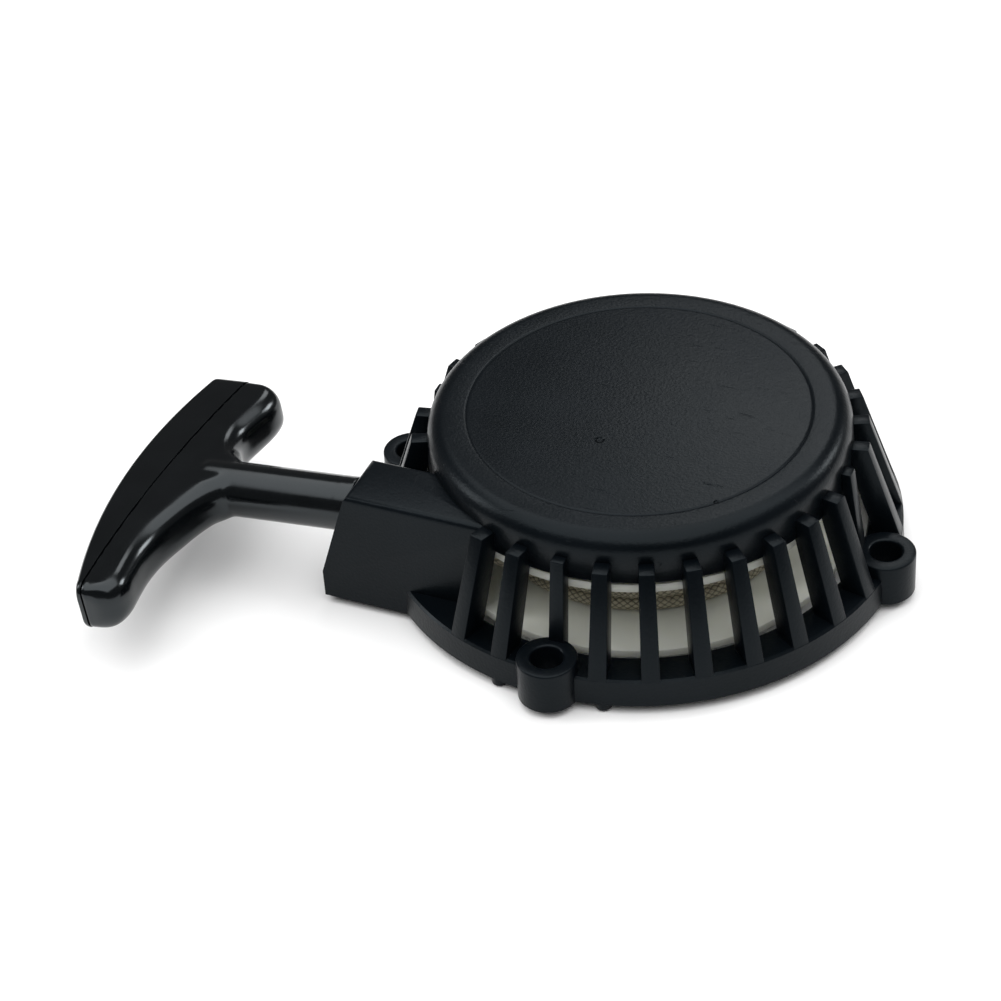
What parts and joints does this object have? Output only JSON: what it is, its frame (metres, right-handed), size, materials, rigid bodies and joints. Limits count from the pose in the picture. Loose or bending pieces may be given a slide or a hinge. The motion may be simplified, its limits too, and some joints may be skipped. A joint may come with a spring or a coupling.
{
  "type": "recoil starter",
  "caption": "Recoil starter: ribbed round plastic housing with a reel inside, mounting lugs, and a T-handle on a cord that pulls out of a side spout.",
  "frame": {"origin": "centre of the mounting ring on the plane of its underside, on the reel's axis", "axes": "+Z along the crankshaft, away from the engine, through the cap; the handle pulls out towards -X, drooping 6.1 degrees; lugs on +X, +Y, -X and -Y"},
  "size_m": [0.1708, 0.1462, 0.0372],
  "materials": {
    "moulded_black": "fine moulded grain, half matte",
    "handle_black": "smooth moulded",
    "natural_nylon": "uncoloured nylon",
    "braided_cord": "braided",
    "spring_steel": "oiled",
    "plated_steel": "zinc plated"
  },
  "bodies": {
    "housing": {"housing": "moulded_black", "cord_guide": "plated_steel", "post_bush": "plated_steel", "recoil_spring": "spring_steel", "spring_anchor_pin": "spring_steel", "spring_cover": "plated_steel", "spring_cover_screw_1": "spring_steel", "spring_cover_screw_2": "spring_steel", "spring_cover_screw_3": "spring_steel", "centre_washer": "plated_steel", "centre_screw": "plated_steel", "brake_spring": "plated_steel", "cord_feed": "braided_cord"},
    "reel": {"reel": "natural_nylon", "cord_coil": "braided_cord", "cord_knot_reel": "braided_cord", "pawl_pin_1": "spring_steel", "pawl_pin_2": "spring_steel"},
    "friction_plate": {"friction_plate": "plated_steel"},
    "pawl_1": {"pawl_1": "spring_steel"},
    "pawl_2": {"pawl_2": "spring_steel"},
    "handle": {"handle_body": "handle_black", "handle_cover": "handle_black", "handle_knot": "braided_cord", "knot_washer": "plated_steel", "cord_run": "braided_cord"}
  },
  "joints": [
    {"name": "handle_pull", "type": "slide", "parent": "housing", "child": "handle", "axis": [-0.9943, 0, -0.1068], "range_m": [0, 0.75], "stiffness_N_per_m": 15, "springref_m": -0.6},
    {"name": "reel_spin", "type": "hinge", "parent": "housing", "child": "reel", "pos_m": [0, 0, 0], "axis": [0, 0, -1], "range_deg": [0, 1320]},
    {"name": "plate_turn", "type": "hinge", "parent": "reel", "child": "friction_plate", "pos_m": [0, 0, 0], "axis": [0, 0, 1], "range_deg": [0, 25]},
    {"name": "pawl_1_swing", "type": "hinge", "parent": "reel", "child": "pawl_1", "pos_m": [0.0142, 0, 0.0117], "axis": [0, 0, 1], "range_deg": [0, 22.1]},
    {"name": "pawl_2_swing", "type": "hinge", "parent": "reel", "child": "pawl_2", "pos_m": [-0.0142, 0, 0.0117], "axis": [0, 0, 1], "range_deg": [0, 22.1]}
  ],
  "couplings": [
    {"joint": "reel_spin", "follows": "handle_pull", "rad_per_m": 30.628},
    {"joint": "pawl_1_swing", "follows": "plate_turn", "ratio": 0.88},
    {"joint": "pawl_2_swing", "follows": "plate_turn", "ratio": 0.88}
  ]
}
